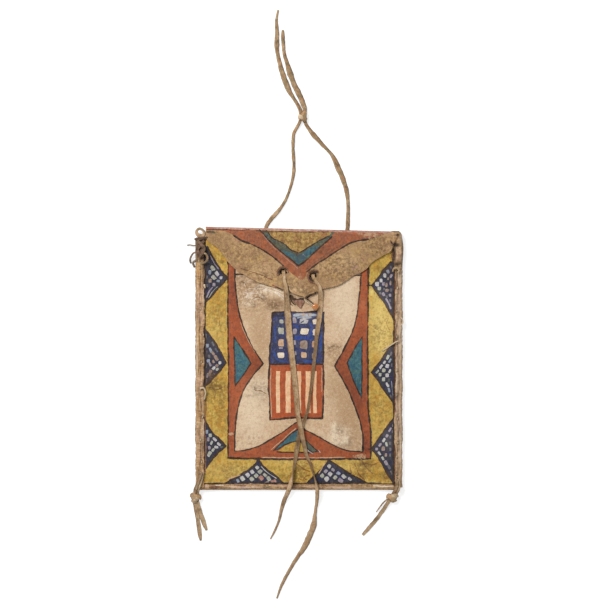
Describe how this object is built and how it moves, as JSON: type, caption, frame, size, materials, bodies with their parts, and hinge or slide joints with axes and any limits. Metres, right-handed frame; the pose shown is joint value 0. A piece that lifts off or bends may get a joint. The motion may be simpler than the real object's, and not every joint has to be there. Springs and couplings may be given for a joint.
{
  "type": "rawhide pouch",
  "caption": "Flat rawhide pouch with a painted front panel, a pointed flap laced shut with a thong, bound side edges and a hanging thong.",
  "frame": {"origin": "on the surface the pouch lies on, under the middle of the pouch, with the thongs left out", "axes": "+X to the right across the front, +Y up the front towards the flap, +Z out of the painted front"},
  "size_m": [0.2063, 0.5729, 0.0126],
  "materials": {
    "rawhide": "satin",
    "tanned_hide": "matte",
    "thong": "matte",
    "orange_glass": "gloss",
    "thread": "matte"
  },
  "bodies": {
    "root": {"rawhide_envelope": "rawhide", "side_binding_left": "tanned_hide", "side_binding_right": "tanned_hide", "corner_loop": "thong", "tie_thong": "thong", "hanging_thong": "thong", "hanging_knot": "thong", "hanging_tail_left": "thong", "hanging_tail_right": "thong", "corner_thong_left": "thong", "corner_knot_left": "thong", "corner_tail_long_left": "thong", "corner_tail_short_left": "thong", "corner_thong_right": "thong", "corner_knot_right": "thong", "corner_tail_long_right": "thong", "corner_tail_short_right": "thong", "bead": "orange_glass", "bead_thread": "thread"}
  },
  "joints": []
}
